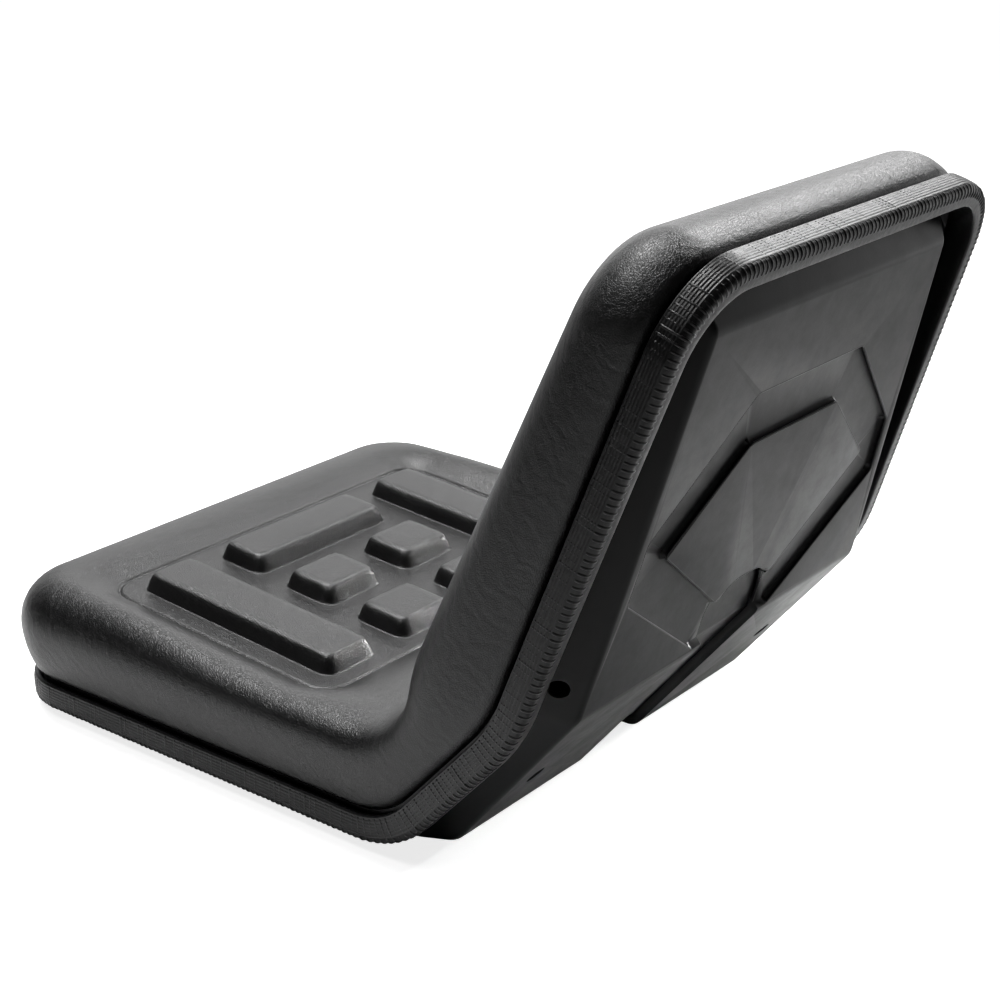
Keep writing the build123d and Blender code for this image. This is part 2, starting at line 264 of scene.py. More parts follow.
def zincMaterial():
    look = nutLook
    material, nodes, links, shader = startMaterial("nut zinc", **{
        "Base Color": look["colour"], "Metallic": 1.0})
    place = addNode(nodes, "ShaderNodeTexCoord").outputs["Object"]
    flake = addNode(nodes, "ShaderNodeTexVoronoi", Scale=look["flakeScale"])
    links.new(place, flake.inputs["Vector"])
    distance = flake.outputs["Distance"]
    links.new(ramp(nodes, links, distance, 0.0, 1.0, *look["rough"]), shader.inputs["Roughness"])
    links.new(bumped(nodes, links, distance, *look["flakeBump"]), shader.inputs["Normal"])
    return material


# the cushion: one moulded foam body under a vinyl skin
cushionSize = dict(overhang=0.006, depth=0.072, topDepth=0.055, bendRadius=0.042, roll=0.034,
                   tuck=0.010, tuckHeight=0.040, hem=0.004, hemHeight=0.006, gap=0.0003, underReach=0.010,
                   panelFoot=0.006, panelBrow=0.014, panelBlend=0.03)
seatPanel = dict(start=0.071, length=0.221, half=0.170, corner=0.022, sink=0.0092,
                 tilt=math.tan(math.radians(5.2)), wall=math.tan(math.radians(55)), rearEase=0.58)
backPanel = dict(start=0.056, length=0.194, half=0.163, corner=0.022, sink=0.014, tilt=0.0,
                 wall=math.tan(math.radians(38)), rearEase=1.0)
blockShape = dict(height=0.0125, corner=0.010, draft=math.tan(math.radians(17)), edge=0.011,
                  foot=0.0014, crown=0.0005, spread=0.0033)
bolsterDrop = dict(depth=0.012, start=0.10, end=0.30, gone=0.37, back=0.45)
groove = dict(depth=0.0022, width=0.0011, inset=0.0015)
# how closely the skin is meshed: plain steps, closer lines at block edges and panel walls
skinMesh = dict(acrossStep=0.005, alongStep=0.0045, lineGap=0.00035, rollRows=13, wallRows=15,
                edgeLines=(-0.0026, -0.0012, -0.0004, 0.0, 0.0005, 0.001, 0.0016, 0.0023, 0.0031,
                           0.004, 0.0052, 0.0072),
                wallLines=(-0.0245, 0.0041, 0.0011))
skinStrain = dict(roll=0.3, wall=0.4)  # how much of the folds shows
rimSearch = dict(over=0.06, count=2600, sideWeight=1e4, behind=1e9)
# blocks as (across, half across, along, half along) on each panel
seatBlocks = [(-0.125, 0.022, 0.1115, 0.0905), (0.125, 0.022, 0.1115, 0.0905), (0.0, 0.0695, 0.0405, 0.0195)]
seatBlocks += [(side * 0.043, 0.0262, row, 0.021) for side in (-1, 1) for row in (0.110, 0.181)]
backBlocks = [(-0.125, 0.022, 0.097, 0.079), (0.125, 0.022, 0.097, 0.079), (0.0, 0.0695, 0.159, 0.017)]
backBlocks += [(side * 0.043, 0.0262, row, 0.019) for side in (-1, 1) for row in (0.037, 0.097)]

foamStart = (rim["frontY"] - cushionSize["overhang"], rim["height"] + cushionSize["depth"])
foamEnd = shifted(rimTop, rim["backAngle"], 0.0, -cushionSize["topDepth"])
backFront = shifted(rimHigh, rim["backAngle"], 0, -cushionSize["depth"])
frontAngle = math.atan2(foamEnd[1] - backFront[1], foamEnd[0] - backFront[0])
seatBack = shifted(backFront, frontAngle, (foamStart[1] - backFront[1]) / math.sin(frontAngle))
sitPath = roundedPath([foamStart, seatBack, foamEnd], [cushionSize["bendRadius"]])
backFrom = float(np.interp(backFront[1], sitPath["z"][1:], sitPath["length"][1:]))
patchHalf = rim["halfWidth"] + cushionSize["overhang"] - cushionSize["roll"]
patchLow, patchHigh = cushionSize["roll"], sitPath["total"] - cushionSize["roll"]


def outerHalf(z):
    topHalf = rim["topHalf"] + cushionSize["overhang"] / math.cos(taper)
    return sideAt(z, rim["halfWidth"] + cushionSize["overhang"], topHalf)


def patchScale(s):
    return (outerHalf(pathAt(sitPath, s)[1]) - cushionSize["roll"]) / patchHalf


def roundRect(u, v, halfU, halfV, corner):
    du, dv = np.abs(u) - halfU + corner, np.abs(v) - halfV + corner
    return np.hypot(np.maximum(du, 0), np.maximum(dv, 0)) + np.minimum(np.maximum(du, dv), 0) - corner


def panelHeight(u, along, panel, blocks, crest):
    length, spread = panel["length"], blockShape["spread"]
    slowed = np.where(along > length, length + (along - length) * panel["rearEase"], along)
    q = roundRect(u, slowed - length / 2, panel["half"], length / 2, panel["corner"])
    floor = -panel["sink"] - np.clip(along, 0, length) * panel["tilt"]
    wall = smoothMax(q, 0.0, cushionSize["panelFoot"]) / panel["wall"]
    height = smoothMin(floor + wall, crest, cushionSize["panelBrow"])
    height -= groove["depth"] * bell(q, -groove["inset"], groove["width"])
    for across, halfAcross, centre, halfAlong in blocks:
        edge = roundRect(u - across, along - centre, halfAcross + spread, halfAlong + spread, blockShape["corner"])
        raised = smoothMin(-edge / blockShape["draft"], blockShape["height"], blockShape["edge"])
        raised = smoothMax(raised, 0.0, blockShape["foot"])
        pillow = np.clip(1 - ((u - across) / halfAcross) ** 2, 0, 1)
        pillow = pillow * np.clip(1 - ((along - centre) / halfAlong) ** 2, 0, 1)
        height += raised + blockShape["crown"] * pillow
    return height


def cushionHeight(u, s):
    # the bolsters sink a little toward the rear of the seat
    down = np.clip((s - bolsterDrop["start"]) / (bolsterDrop["end"] - bolsterDrop["start"]), 0, 1)
    up = np.clip((s - bolsterDrop["gone"]) / (bolsterDrop["back"] - bolsterDrop["gone"]), 0, 1)
    crest = -bolsterDrop["depth"] * eased(down) * (1 - eased(up))
    seat = panelHeight(u, s - seatPanel["start"], seatPanel, seatBlocks, crest)
    back = panelHeight(u, s - backFrom - backPanel["start"], backPanel, backBlocks, 0.0)
    blend = np.clip((s - (backFrom - cushionSize["panelBlend"])) / cushionSize["panelBlend"], 0, 1)
    return seat * (1 - blend) + back * blend


def gridLines(low, high, step, clusters, extra):
    # plain spacing, with closer lines wherever an edge or a rounded corner needs them
    lines = set(extra) | {low, high}
    for place, offsets in clusters:
        lines |= {place + o for o in offsets}
    lines = sorted(v for v in lines if low <= v <= high)
    kept = [lines[0]]
    for v in lines[1:]:
        if v - kept[-1] > skinMesh["lineGap"] or v in extra or v == high:
            kept.append(v)
    full = [kept[0]]
    for v in kept[1:]:
        count = max(int(math.ceil((v - full[-1]) / step)), 1)
        full += list(np.linspace(full[-1], v, count + 1)[1:])
    return np.array(full)


def blockLines(centre, reach):
    # lines at both edges of a block, closest on its slope
    inward = list(skinMesh["edgeLines"])
    return [(centre - reach, inward), (centre + reach, [-o for o in inward])]


def squareToDisc(p, q):
    return p * np.sqrt(1 - q * q / 2), q * np.sqrt(1 - p * p / 2)


def cushionGrid():
    acrossClusters, alongClusters = [], []
    wallLines = list(np.arange(*skinMesh["wallLines"]))
    for across, halfAcross, _, _ in seatBlocks:
        acrossClusters += blockLines(across, halfAcross + blockShape["spread"])
    for sign in (-1, 1):
        acrossClusters.append((sign * seatPanel["half"], [sign * o for o in wallLines]))
    for panel, blocks, before in ((seatPanel, seatBlocks, 0.0), (backPanel, backBlocks, backFrom)):
        origin = before + panel["start"]
        for _, _, centre, halfAlong in blocks:
            alongClusters += blockLines(origin + centre, halfAlong + blockShape["spread"])
        alongClusters += [(origin, [-o for o in wallLines]), (origin + panel["length"], wallLines)]
    frontR = rim["frontCorner"] + cushionSize["overhang"] - cushionSize["roll"]
    topR = rim["topCorner"] - cushionSize["roll"]
    us = gridLines(-patchHalf, patchHalf, skinMesh["acrossStep"], acrossClusters,
                   [-patchHalf + frontR, patchHalf - frontR])
    ss = gridLines(patchLow, patchHigh, skinMesh["alongStep"], alongClusters,
                   [patchLow + frontR, patchHigh - topR])
    u, s = np.meshgrid(us, ss)
    # the square corners of the grid are drawn round
    for end, toward, radius in ((patchLow, -1, frontR), (patchHigh, 1, topR)):
        centreS = end - toward * radius
        p = (np.abs(u) - (patchHalf - radius)) / radius
        q = toward * (s - centreS) / radius
        both = (p > 0) & (q > 0)
        pr, qr = squareToDisc(np.clip(p, 0, 1), np.clip(q, 0, 1))
        u = np.where(both, np.sign(u) * (patchHalf - radius + radius * pr), u)
        s = np.where(both, centreS + toward * radius * qr, s)
    return u, s


def wallHeights(edge, down):
    # how far each point of the wall is above the rim
    reach = np.linspace(-rimSearch["over"], rimPath["total"] + rimSearch["over"], rimSearch["count"])
    rimY, rimZ, _ = pathAt(rimPath, reach)
    toRim = np.stack([rimY[None, :] - edge[:, 1:2], rimZ[None, :] - edge[:, 2:3]], -1)
    side = toRim[..., 0] * down[:, 2:3] - toRim[..., 1] * down[:, 1:2]
    ahead = toRim[..., 0] * down[:, 1:2] + toRim[..., 1] * down[:, 2:3]
    miss = np.where(ahead > 0, ahead + np.abs(side) * rimSearch["sideWeight"], rimSearch["behind"])
    return ahead[np.arange(len(edge)), np.argmin(miss, axis=1)] - cushionSize["gap"]


def undersideFaces(ring, rows, columns):
    # plain strips across the hidden underside
    front = list(ring[:columns])
    near = list(ring[columns - 1:columns + rows - 1])
    top = list(ring[columns + rows - 2:2 * columns + rows - 2])
    far = ([ring[0]] + list(ring[:2 * columns + rows - 4:-1]))[:rows]
    strips = [(near[j], near[j + 1], far[j + 1], far[j]) for j in range(1, rows - 2)]
    strips.append(tuple(front + [near[1], far[1]]))
    strips.append(tuple([near[rows - 2]] + top + [far[rows - 2]]))
    return strips


def buildCushion():
    u, s = cushionGrid()
    rows, columns = u.shape
    y, z, angle = pathAt(sitPath, s)
    lift = cushionHeight(u, s)
    top = np.stack([u * patchScale(s), y - np.sin(angle) * lift, z + np.cos(angle) * lift], -1).reshape(-1, 3)
    index = np.arange(rows * columns).reshape(rows, columns)
    quads = np.stack([index[:-1, :-1], index[:-1, 1:], index[1:, 1:], index[1:, :-1]], -1)
    faces = [tuple(f) for f in quads.reshape(-1, 4)]

    # the border of the sitting face, and the ways out, up and down from it
    ring = np.concatenate([index[0, :-1], index[:-1, -1], index[-1, :0:-1], index[:0:-1, 0]])
    ringU, ringS = u.reshape(-1)[ring], s.reshape(-1)[ring]
    scale = patchScale(ringS)
    ringX = ringU * scale
    alongX = np.roll(ringX, -1) - np.roll(ringX, 1)
    alongS = np.roll(ringS, -1) - np.roll(ringS, 1)
    size = np.hypot(alongX, alongS)
    outX, outS = alongS / size, -alongX / size
    y, z, angle = pathAt(sitPath, ringS)
    lean = angle * rim["backAngle"] / frontAngle
    start = np.stack([ringX, y, z], -1)
    out = np.stack([outX, outS * np.cos(angle), outS * np.sin(angle)], -1)
    normal = np.stack([0 * y, -np.sin(angle), np.cos(angle)], -1)
    down = np.stack([0 * y, np.sin(lean), -np.cos(lean)], -1)

    # the rolled edge
    layers, strain = [top], [np.zeros(len(top))]
    roll = cushionSize["roll"]
    for theta in np.linspace(0, math.pi / 2, skinMesh["rollRows"])[1:]:
        aside = roll * math.sin(theta)
        lift = cushionHeight((ringX + aside * outX) / scale, ringS + aside * outS)
        layer = start + out * aside + down * roll * (1 - math.cos(theta))
        layers.append(layer + normal * (lift * math.cos(theta) ** 2)[:, None])
        strain.append(np.full(len(ring), skinStrain["roll"]))

    # the wall down to the rim, tucked in at its foot
    edge = start + (out + down) * roll
    wall = wallHeights(edge, down)
    tuckFrom = np.minimum(cushionSize["tuckHeight"], wall)
    hemHeight = cushionSize["hemHeight"]
    for k in np.linspace(0, 1, skinMesh["wallRows"])[1:]:
        gone = wall * k
        inward = cushionSize["tuck"] * np.clip((gone - wall + tuckFrom) / tuckFrom, 0, 1) ** 2
        inward = inward * np.minimum(1, wall / cushionSize["tuckHeight"])
        inward = inward + cushionSize["hem"] * np.clip((gone - wall + hemHeight) / hemHeight, 0, 1) ** 2
        layer = edge + down * gone[:, None] - out * inward[:, None]
        layer[:, 0] += outX * (outerHalf(layer[:, 2]) - outerHalf(edge[:, 2]))
        layers.append(layer)
        strain.append(np.full(len(ring), skinStrain["roll"] + skinStrain["wall"] * k * (1 - k)))
    layers.append(layers[-1] - out * cushionSize["underReach"])
    strain.append(np.zeros(len(ring)))

    before, count = ring, len(top)
    for layer in layers[1:]:
        after = np.arange(count, count + len(ring))
        faces += [tuple(f) for f in np.stack([before, after, np.roll(after, -1), np.roll(before, -1)], -1)]
        before = after
        count += len(ring)
    faces += undersideFaces(before, rows, columns)
    piece = newMesh("cushion_skin", np.concatenate(layers), [tuple(int(i) for i in f) for f in faces])
    addColumn(piece.data, "strain", np.concatenate(strain))
    piece.data.materials.append(vinylMaterial())
    return piece


cushion = buildCushion()
print("cushion", len(cushion.data.polygons))

# the edging: a U section pushed onto the lip, embossed with rows of cords and cross ribs
trimSize = dict(near=0.002, far=0.022, width=0.015, leg=0.0036, floor=0.005, rows=6, cord=0.0005,
                faceStart=0.0012, faceInset=0.0006, faceBulge=0.0007, edgeRound=0.0052, edgeInset=0.0054,
                rearStart=0.0065, rearEnd=0.0022, rearWave=0.0001, rearPitch=700, lipRound=0.0012,
                pitch=0.0046, step=0.003)
loopMesh = dict(corner=40, side=240, leanRun=0.1, arcGap=0.001)


def rimLoop(step):
    # the outline of the rim laid flat (across, along the path), with its rounded corners
    total = rimPath["total"]

    def half(s):
        return sideAt(pathAt(rimPath, np.array([s]))[1], rim["halfWidth"], rim["topHalf"])[0]

    front, top = rim["frontCorner"], rim["topCorner"]
    points = [(0.0, 0.0), (half(0) - front, 0.0)]
    for a in np.linspace(0, math.pi / 2, loopMesh["corner"])[1:]:
        points.append((half(0) - front + front * math.sin(a), front - front * math.cos(a)))
    for s in np.linspace(front, total - top, loopMesh["side"])[1:]:
        points.append((half(s), s))
    lean = math.atan2(half(total - loopMesh["leanRun"]) - half(total), loopMesh["leanRun"])
    centre = np.array([half(total) - top * (1 - math.sin(lean)) / math.cos(lean), total - top])
    turn = np.linspace(lean, math.pi / 2, loopMesh["corner"])
    arc = [centre + top * np.array([math.cos(a), math.sin(a)]) for a in turn]
    points = [p for p in points if p[1] < arc[0][1] - loopMesh["arcGap"]] + [tuple(p) for p in arc]
    points.append((0.0, total))
    points = np.array(points)
    points = np.concatenate([points, [(-x, s) for x, s in points[-2:0:-1]]])
    closed = np.concatenate([points, points[:1]])
    lengths = np.concatenate([[0], np.cumsum(np.linalg.norm(np.diff(closed, axis=0), axis=1))])
    count = int(lengths[-1] / step)
    at = np.arange(count) * lengths[-1] / count
    return np.stack([np.interp(at, lengths, closed[:, 0]), np.interp(at, lengths, closed[:, 1])], -1)


def rimFrames(loop):
    along = np.roll(loop, -1, axis=0) - np.roll(loop, 1, axis=0)
    along /= np.linalg.norm(along, axis=1)[:, None]
    y, z, angle = pathAt(rimPath, loop[:, 1])
    place = np.stack([loop[:, 0], y, z], -1)
    out = np.stack([along[:, 1], -along[:, 0] * np.cos(angle), -along[:, 0] * np.sin(angle)], -1)
    deep = np.stack([0 * y, np.sin(angle), -np.cos(angle)], -1)
    return place, out, deep, angle


def trimProfile():
    # (inset from the outer face, depth below the rim), round the U once
    near, far, width = trimSize["near"], trimSize["far"], trimSize["width"]
    faceStart, edgeRound, lipRound = trimSize["faceStart"], trimSize["edgeRound"], trimSize["lipRound"]
    leg, floor = trimSize["leg"], far - trimSize["floor"]
    faceRun = far - near - faceStart - edgeRound
    face = []
    for d in np.linspace(near + faceStart, far - edgeRound, 4 * trimSize["rows"] + 1):
        share = (d - near) / (far - near)
        wave = math.cos(2 * math.pi * trimSize["rows"] * (d - near - faceStart) / faceRun)
        cord = trimSize["cord"] * (0.5 + 0.5 * wave)
        face.append((trimSize["faceInset"] - trimSize["faceBulge"] * math.sin(math.pi * share) - cord, d))
    edge = [(trimSize["edgeInset"] - edgeRound * math.cos(a), far - edgeRound + edgeRound * math.sin(a))
            for a in np.linspace(0.15, math.pi / 2, 8)]
    rear = [(i, far + trimSize["rearWave"] * math.sin(i * trimSize["rearPitch"]))
            for i in np.linspace(trimSize["rearStart"], width - trimSize["rearEnd"], 8)]
    lip = [(width - lipRound + lipRound * math.sin(a), far - lipRound + lipRound * math.cos(a))
           for a in np.linspace(0.1, math.pi / 2, 5)]
    inside = [(width, near), (width - leg, near), (width - leg, floor), (leg, floor), (leg, near)]
    heel = [(0.0016, near), (0.0007, near + 0.0004)]
    return face + edge + rear + lip + inside + heel


# one rib: its section as (along the rim, lift), and how it swells and stands
ribShape = dict(section=((-0.0012, -0.0010), (-0.0007, 0.00005), (0.0, 0.00022), (0.0007, 0.00005),
                         (0.0012, -0.0010)),
                turnRound=0.0055, swellLow=0.85, swellRange=0.25,
                lowBend=(0.42, 0.38), highBend=(1.04, 0.13), corner=(0.7, 0.22),
                rise=-0.0001, bentRise=0.00035, scatter=0.00012)


def ribMesh():
    # one cross rib in its own frame: x outward, y along the rim, z down the depth
    near, far = trimSize["near"], trimSize["far"]
    turnRound, section = ribShape["turnRound"], ribShape["section"]
    line = [(-0.0004, near + 0.0018), (-0.0001, near + 0.004), (0.0001, 0.010), (0.0001, 0.014),
            (-0.0002, far - 0.0055)]
    line += [(-trimSize["edgeInset"] + turnRound * math.cos(a),
              far - trimSize["edgeRound"] + turnRound * math.sin(a)) for a in np.linspace(0.35, math.pi / 2, 5)]
    line += [(-0.0075, far + 0.0002), (-0.0088, far - 0.0004)]
    vertices, faces = [], []
    for i, (x, z) in enumerate(line):
        ahead = np.array(line[min(i + 1, len(line) - 1)]) - np.array(line[max(i - 1, 0)])
        outward = np.array([ahead[1], -ahead[0]]) / np.linalg.norm(ahead)
        for offset, lift in section:
            vertices.append((x + outward[0] * lift, offset, z + outward[1] * lift))
    n = len(section)
    for i in range(len(line) - 1):
        for j in range(n):
            k = (j + 1) % n
            faces.append((n * i + j, n * i + k, n * i + n + k, n * i + n + j))
    faces.append(tuple(range(n)))
    faces.append(tuple(n * (len(line) - 1) + j for j in reversed(range(n))))
    return newMesh("trim_rib", vertices, faces)


def ribTree():
    tree = bpy.data.node_groups.new("cross ribs", "GeometryNodeTree")
    tree.interface.new_socket("Geometry", in_out="INPUT", socket_type="NodeSocketGeometry")
    tree.interface.new_socket("Rib", in_out="INPUT", socket_type="NodeSocketObject")
    tree.interface.new_socket("Material", in_out="INPUT", socket_type="NodeSocketMaterial")
    tree.interface.new_socket("Geometry", in_out="OUTPUT", socket_type="NodeSocketGeometry")
    nodes, links = tree.nodes, tree.links
    given, result = nodes.new("NodeGroupInput"), nodes.new("NodeGroupOutput")
    info = nodes.new("GeometryNodeObjectInfo")
    spread = nodes.new("GeometryNodeInstanceOnPoints")
    turn = nodes.new("GeometryNodeInputNamedAttribute")
    turn.data_type = "QUATERNION"
    turn.inputs["Name"].default_value = "stance"
    size = nodes.new("GeometryNodeInputNamedAttribute")
    size.data_type = "FLOAT_VECTOR"
    size.inputs["Name"].default_value = "swell"
    solid = nodes.new("GeometryNodeRealizeInstances")
    paint = nodes.new("GeometryNodeSetMaterial")
    links.new(given.outputs["Rib"], info.inputs["Object"])
    links.new(given.outputs["Geometry"], spread.inputs["Points"])
    links.new(info.outputs["Geometry"], spread.inputs["Instance"])
    links.new(turn.outputs["Attribute"], spread.inputs["Rotation"])
    links.new(size.outputs["Attribute"], spread.inputs["Scale"])
    links.new(spread.outputs["Instances"], solid.inputs["Geometry"])
    links.new(solid.outputs["Geometry"], paint.inputs["Geometry"])
    links.new(given.outputs["Material"], paint.inputs["Material"])
    links.new(paint.outputs["Geometry"], result.inputs["Geometry"])
    return tree


def socketNamed(tree, name):
    return next(item.identifier for item in tree.interface.items_tree
                if item.in_out == "INPUT" and item.name == name)


def ribPoints():
    # a point for each rib, with its stance and its swell; ribs stand proud in bends and corners
    place, out, deep, angle = rimFrames(rimLoop(trimSize["pitch"]))
    bend = bell(angle, *ribShape["lowBend"]) + bell(angle, *ribShape["highBend"])
    corner = bell(np.abs(out[:, 0]), *ribShape["corner"])
    plain = np.ones(len(place))
    swell = np.stack([plain, ribShape["swellLow"] + ribShape["swellRange"] * rng.random(len(place)), plain], -1)
    lift = ribShape["rise"] + ribShape["bentRise"] * np.clip(bend + corner, 0, 1)
    lift = lift + ribShape["scatter"] * rng.standard_normal(len(place))
    points = bpy.data.meshes.new("rib points")
    points.from_pydata([tuple(p) for p in place + out * lift[:, None]], [], [])
    turns = []
    for o, d in zip(out, deep):
        turns.extend(Matrix((o, np.cross(d, o), d)).transposed().to_quaternion())
    points.attributes.new("stance", "QUATERNION", "POINT").data.foreach_set("value", turns)
    points.attributes.new("swell", "FLOAT_VECTOR", "POINT").data.foreach_set("vector", swell.reshape(-1))
    carrier = bpy.data.objects.new("rib points", points)
    bpy.context.scene.collection.objects.link(carrier)
    return carrier


def buildRibs(material):
    carrier, rib, tree = ribPoints(), ribMesh(), ribTree()
    modifier = carrier.modifiers.new("ribs", "NODES")
    modifier.node_group = tree
    modifier[socketNamed(tree, "Rib")] = rib
    modifier[socketNamed(tree, "Material")] = material
    carrier.data.update()
    evaluated = carrier.evaluated_get(bpy.context.evaluated_depsgraph_get())
    ribs = bpy.data.meshes.new_from_object(evaluated)
    ribs.polygons.foreach_set("use_smooth", [True] * len(ribs.polygons))
    for spare in (carrier, rib):
        bpy.data.objects.remove(spare, do_unlink=True)
    return ribs


def buildTrim():
    material = trimMaterial()
    place, out, deep, _ = rimFrames(rimLoop(trimSize["step"]))
    profile = trimProfile()
    rings = [place - out * inset + deep * depth for inset, depth in profile]
    vertices = np.stack(rings, 1).reshape(-1, 3)
    index = np.arange(len(vertices)).reshape(len(place), len(profile))
    following = np.roll(index, -1, 0)
    quads = np.stack([index, following, np.roll(following, -1, 1), np.roll(index, -1, 1)], -1).reshape(-1, 4)
    band = newMesh("edging", vertices, [tuple(int(i) for i in q) for q in quads])
    band.data.materials.append(material)
    ribs = buildRibs(material)
    work = bmesh.new()
    work.from_mesh(band.data)
    work.from_mesh(ribs)
    work.to_mesh(band.data)
    work.free()
    bpy.data.meshes.remove(ribs)
    return band


trim = buildTrim()
print("edging", len(trim.data.polygons))

# the pan: the pressed sheet as built, its pressed edges rounded
panSize = dict(merge=0.00002, sharp=math.radians(24), bead=0.0011, sunk=0.00105, over=0.0004,
               ridge=shifted(rimHigh, rim["backAngle"], 0.0055, 0.0344),
               shoulder=shifted(rimTop, rim["backAngle"], -0.043, 0.0174), recess=0.0045,
               planRound=0.004, roundLine=9)  # a line of that many points is round already
panAngle = math.atan2(panSize["shoulder"][1] - panSize["ridge"][1],
                      panSize["shoulder"][0] - panSize["ridge"][0])
arch = dict(across=0.008, up=0.018, radius=0.028, count=13, split=6, foot=(0.036, 0.006))


def mirrored(half):
    return half + [(-x, v) for x, v in half[::-1]]


# folded edges of the pressings on the back face: level, side of the wall, points across and up the face
archTurn = [(arch["across"] + arch["radius"] * math.cos(a), arch["up"] + arch["radius"] * math.sin(a))
            for a in np.linspace(0, math.pi / 2, arch["count"])]
archLeg = [arch["foot"]] + archTurn[:arch["split"]]
pressedEdges = [
    (0, 1, mirrored([(0.048, 0.003), (0.152, 0.077), (0.148, 0.121), (0.065, 0.199)])),
    (0, -1, mirrored([(0.031, 0.036), (0.034, 0.036), (0.120, 0.102), (0.053, 0.159)])),
    (1, 1, archLeg),
    (0, 1, mirrored(archTurn[arch["split"]:])),
    (1, 1, [(-x, v) for x, v in archLeg[::-1]]),
]


def onBack(across, up, level):
    y, z = shifted(panSize["ridge"], panAngle, up, level)
    return np.array([across, y, z])


def roundCorner(points, radius, count=5):
    # the plan corners of a pressing are rounded too
    result = [np.array(points[0])]
    for before, here, after in zip(points, points[1:], points[2:]):
        before, here, after = np.array(before), np.array(here), np.array(after)
        a, b = before - here, after - here
        a, b = a / np.linalg.norm(a), b / np.linalg.norm(b)
        for t in np.linspace(0, 1, count):
            result.append(here + a * radius * (1 - t) ** 2 + b * radius * t ** 2)
    return result + [np.array(points[-1])]


def edgeBead(work, line, sides=8):
    # a fine round along a folded edge, sunk in the sheet
    first = Vector((0, math.sin(panAngle), -math.cos(panAngle)))
    turn = np.linspace(0, 2 * math.pi, sides + 1)[:-1]
    rings = []
    for k, point in enumerate(line):
        ahead = Vector(line[min(k + 1, len(line) - 1)] - line[max(k - 1, 0)]).normalized()
        second = ahead.cross(first).normalized()
        around = [panSize["bead"] * (first * math.cos(a) + second * math.sin(a)) for a in turn]
        rings.append([work.verts.new(Vector(point) + offset) for offset in around])
    for low, high in zip(rings, rings[1:]):
        for k in range(sides):
            work.faces.new((low[k], low[(k + 1) % sides], high[(k + 1) % sides], high[k]))
    work.faces.new(rings[0][::-1])
    work.faces.new(rings[-1])


def buildPan():
    source = bpy.data.objects["steel_pan"]
    piece = bpy.data.objects.new("pressed_pan", source.data.copy())
    bpy.context.scene.collection.objects.link(piece)
    work = bmesh.new()
    work.from_mesh(piece.data)
    bmesh.ops.remove_doubles(work, verts=work.verts, dist=panSize["merge"])
    beads = bmesh.new()
    for level, wallSide, points in pressedEdges:
        bent = len(points) < panSize["roundLine"]
        plan = np.array(roundCorner(points, panSize["planRound"]) if bent else points)
        along = np.gradient(plan, axis=0)
        along /= np.linalg.norm(along, axis=1)[:, None]
        plan = plan + wallSide * panSize["over"] * np.stack([-along[:, 1], along[:, 0]], -1)
        drop = -panSize["recess"] * level - panSize["sunk"]
        edgeBead(beads, [onBack(x, v, drop) for x, v in plan])
    bmesh.ops.recalc_face_normals(beads, faces=beads.faces)
    beadMesh = bpy.data.meshes.new("beads")
    beads.to_mesh(beadMesh)
    work.from_mesh(beadMesh)
    beads.free()
    bpy.data.meshes.remove(beadMesh)
    work.to_mesh(piece.data)
    work.free()
    piece.data.polygons.foreach_set("use_smooth", [True] * len(piece.data.polygons))
    piece.data.set_sharp_from_angle(angle=panSize["sharp"])
    flatFaces = piece.modifiers.new("flat faces", "WEIGHTED_NORMAL")
    flatFaces.weight = 100
    flatFaces.keep_sharp = True
    piece.data.materials.clear()
    piece.data.materials.append(paintMaterial())
    return piece


pan = buildPan()
print("pan", len(pan.data.polygons))

nuts = bpy.data.objects["weld_nuts"]
nuts.data.materials.clear()
nuts.data.materials.append(zincMaterial())
print("weld nuts", len(nuts.data.polygons))

for piece, node, slot in ((cushion, "cushion", "cushion_vinyl"), (trim, "edge_trim", "trim_vinyl"),
                          (pan, "steel_pan", "pan_paint")):
    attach(piece, "root")
    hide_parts(node)

# studio: pale floor that the camera sees lifted to white farther out
floorLook = dict(reach=6, colour=(0.8, 0.8, 0.8, 1), rough=0.9,
                 liftFrom=0.45, liftTo=1.3, nearLift=0.8, farLift=1.0)


def buildFloor():
    reach = floorLook["reach"]
    mesh = bpy.data.meshes.new("floor")
    mesh.from_pydata([(-reach, -reach, 0), (reach, -reach, 0), (reach, reach, 0), (-reach, reach, 0)], [],
                     [(0, 1, 2, 3)])
    piece = bpy.data.objects.new("floor", mesh)
    bpy.context.scene.collection.objects.link(piece)
    material, nodes, links, shader = startMaterial("floor", **{
        "Base Color": floorLook["colour"], "Roughness": floorLook["rough"], "Specular IOR Level": 0.0,
        "Emission Color": (1, 1, 1, 1)})
    rays = nodes.new("ShaderNodeLightPath")
    place = addNode(nodes, "ShaderNodeTexCoord").outputs["Object"]
    away = addNode(nodes, "ShaderNodeVectorMath", operation="LENGTH")
    links.new(place, away.inputs[0])
    level = ramp(nodes, links, away.outputs["Value"], floorLook["liftFrom"], floorLook["liftTo"],
                 floorLook["nearLift"], floorLook["farLift"])
    lift = mixed(nodes, links, "MULTIPLY", rays.outputs["Is Camera Ray"], level)
    links.new(lift, shader.inputs["Emission Strength"])
    mesh.materials.append(material)
    return piece


floor = buildFloor()

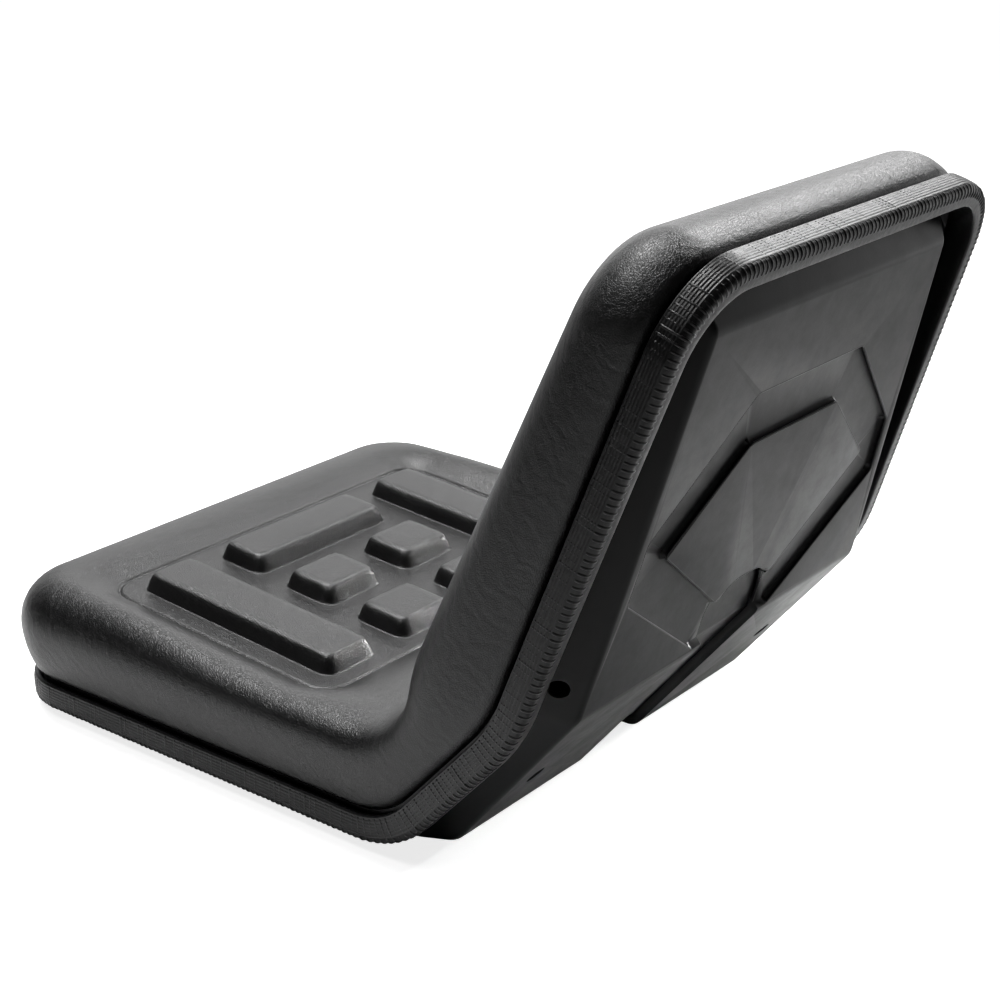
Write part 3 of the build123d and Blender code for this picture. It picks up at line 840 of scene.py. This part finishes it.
# soft boxes, in metres and watts
softBoxes = {
    "overhead box": dict(place=(-0.15, -0.6, 2.1), aim=(0.08, -0.15, 0.0), size=(0.9, 0.9), power=7.5, spread=60),
    "under box": dict(place=(-1.3, 0.45, 0.35), aim=(-0.12, 0.2, 0.0), size=(0.25, 0.25), power=0.9, spread=25),
    "back box": dict(place=(-1.75, -1.35, 1.0), aim=(0, 0, 0.15), size=(2.2, 1.3), power=8),
    "far side box": dict(place=(-1.8, 0.05, 1.75), aim=(0, 0.2, 0.35), size=(0.9, 0.7), power=26),
    "edge card": dict(place=(-1.4, 0.75, 0.35), aim=(0, 0.3, 0.2), size=(0.7, 0.7), power=2.2),
    "near side box": dict(place=(0.9, -0.35, 1.95), aim=(0.1, 0.1, 0.2), size=(0.5, 0.5), power=8),
}


def softBox(name, place, aim, size, power, spread=180):
    light = bpy.data.lights.new(name, "AREA")
    light.shape = "RECTANGLE"
    light.size, light.size_y = size
    light.energy = power
    light.spread = math.radians(spread)
    box = bpy.data.objects.new(name, light)
    box.location = place
    box.visible_camera = False
    box.rotation_euler = (Vector(aim) - Vector(place)).to_track_quat("-Z", "Y").to_euler()
    bpy.context.scene.collection.objects.link(box)


for name, settings in softBoxes.items():
    softBox(name, **settings)

# white surround for the camera; gloss sees it low down on the far side, and dim elsewhere
surround = dict(toward=(-0.786, -0.617, 0.0), side=(0.55, 0.85), low=(0.35, 0.75), dim=0.02)


def buildSurround():
    world = bpy.data.worlds.new("studio")
    bpy.context.scene.world = world
    world.use_nodes = True
    nodes, links = world.node_tree.nodes, world.node_tree.links
    background = nodes["Background"]
    rays = nodes.new("ShaderNodeLightPath")
    direction = nodes.new("ShaderNodeTexCoord").outputs["Generated"]
    toward = addNode(nodes, "ShaderNodeVectorMath", operation="DOT_PRODUCT")
    links.new(direction, toward.inputs[0])
    toward.inputs[1].default_value = surround["toward"]
    sideZone = ramp(nodes, links, toward.outputs["Value"], *surround["side"], 0.0, 1.0)
    split = nodes.new("ShaderNodeSeparateXYZ")
    links.new(direction, split.inputs[0])
    lowZone = ramp(nodes, links, split.outputs["Z"], *surround["low"], 1.0, 0.0)
    wall = mixed(nodes, links, "MULTIPLY", sideZone, lowZone)
    glossy = mixed(nodes, links, "MULTIPLY", wall, rays.outputs["Is Glossy Ray"])
    seen = mixed(nodes, links, "MAXIMUM", rays.outputs["Is Camera Ray"], glossy)
    links.new(mixed(nodes, links, "MAXIMUM", seen, surround["dim"]), background.inputs["Strength"])
    background.inputs["Color"].default_value = (1, 1, 1, 1)


buildSurround()
print("studio", len(softBoxes))

# the camera, at the photograph's angle
photoView = dict(sensor=36.0, lensPerWidth=1.92974, place=(1.01555, 0.87477, 0.65841),
                 right=(-0.616676, 0.787215, -0.001835), up=(-0.282020, -0.218747, 0.934139),
                 back=(0.734966, 0.576578, 0.356906))
camera = bpy.data.cameras.new("photo camera")
camera.sensor_width = photoView["sensor"]
camera.lens = photoView["sensor"] * photoView["lensPerWidth"]
cameraObject = bpy.data.objects.new("photo camera", camera)
pose = Matrix((photoView["right"], photoView["up"], photoView["back"])).transposed().to_4x4()
pose.translation = Vector(photoView["place"])
cameraObject.matrix_world = pose
bpy.context.scene.collection.objects.link(cameraObject)
bpy.context.scene.camera = cameraObject
bpy.context.scene.view_settings.view_transform = "Standard"
print("camera", tuple(cameraObject.location))
